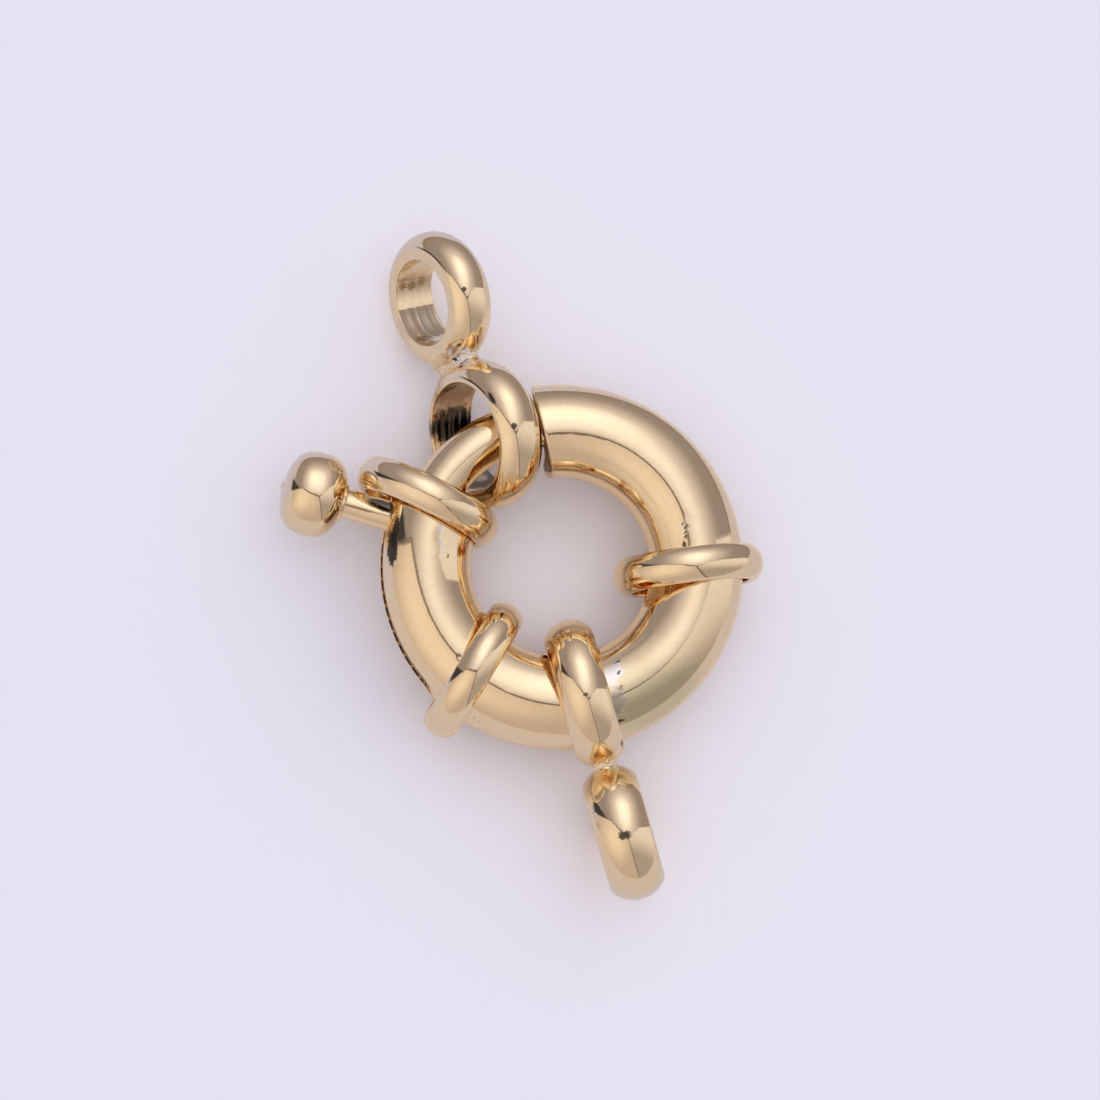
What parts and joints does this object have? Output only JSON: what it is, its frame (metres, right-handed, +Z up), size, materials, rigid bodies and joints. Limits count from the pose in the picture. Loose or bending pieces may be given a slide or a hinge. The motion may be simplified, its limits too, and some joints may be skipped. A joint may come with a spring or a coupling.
{
  "type": "sailor clasp",
  "caption": "Bolt-ring sailor clasp: hollow ring with a sprung curved bolt moved by a thumb knob, half-round collars, a soldered end link and a loose end link, lying flat",
  "frame": {"origin": "under the middle of the outline, on the surface that the clasp lies on", "axes": "+Z is up, square to the ring's plane; +Y runs from the fixed end link towards the loose one; +X runs away from the thumb knob"},
  "size_m": [0.0198, 0.0274, 0.0062],
  "materials": {
    "ring_tube": "pale champagne gold plating, polished",
    "mouth_collar": "pale champagne gold plating, polished",
    "lower_collar": "pale champagne gold plating, polished",
    "side_collar": "pale champagne gold plating, polished",
    "fixed_link": "pale champagne gold plating, polished, with pale solder at the neck",
    "bolt": "pale champagne gold plating, polished",
    "thumb_knob": "pale champagne gold plating, polished",
    "return_spring": "bright spring wire",
    "swing_link": "pale champagne gold plating, polished, with turning marks in the eye"
  },
  "bodies": {
    "ring": {"ring_tube": "ring_tube", "mouth_collar": "mouth_collar", "lower_collar": "lower_collar", "side_collar": "side_collar", "fixed_link": "fixed_link", "return_spring": "return_spring"},
    "gate": {"bolt": "bolt", "thumb_knob": "thumb_knob"},
    "loose_link": {"swing_link": "swing_link"}
  },
  "joints": [
    {"name": "bolt_slide", "type": "hinge", "parent": "ring", "child": "gate", "pos_m": [0.0016, -0.0001, 0.0031], "axis": [0, 0, 1], "range_deg": [0, 55], "stiffness_Nm_per_rad": 0.001, "springref_deg": -40.11, "deforming": ["return_spring"]},
    {"name": "link_swing", "type": "hinge", "parent": "ring", "child": "loose_link", "pos_m": [-0.00113, 0.00513, 0.003], "axis": [0.9636, 0.2672, 0], "range_deg": [0, 90]}
  ]
}
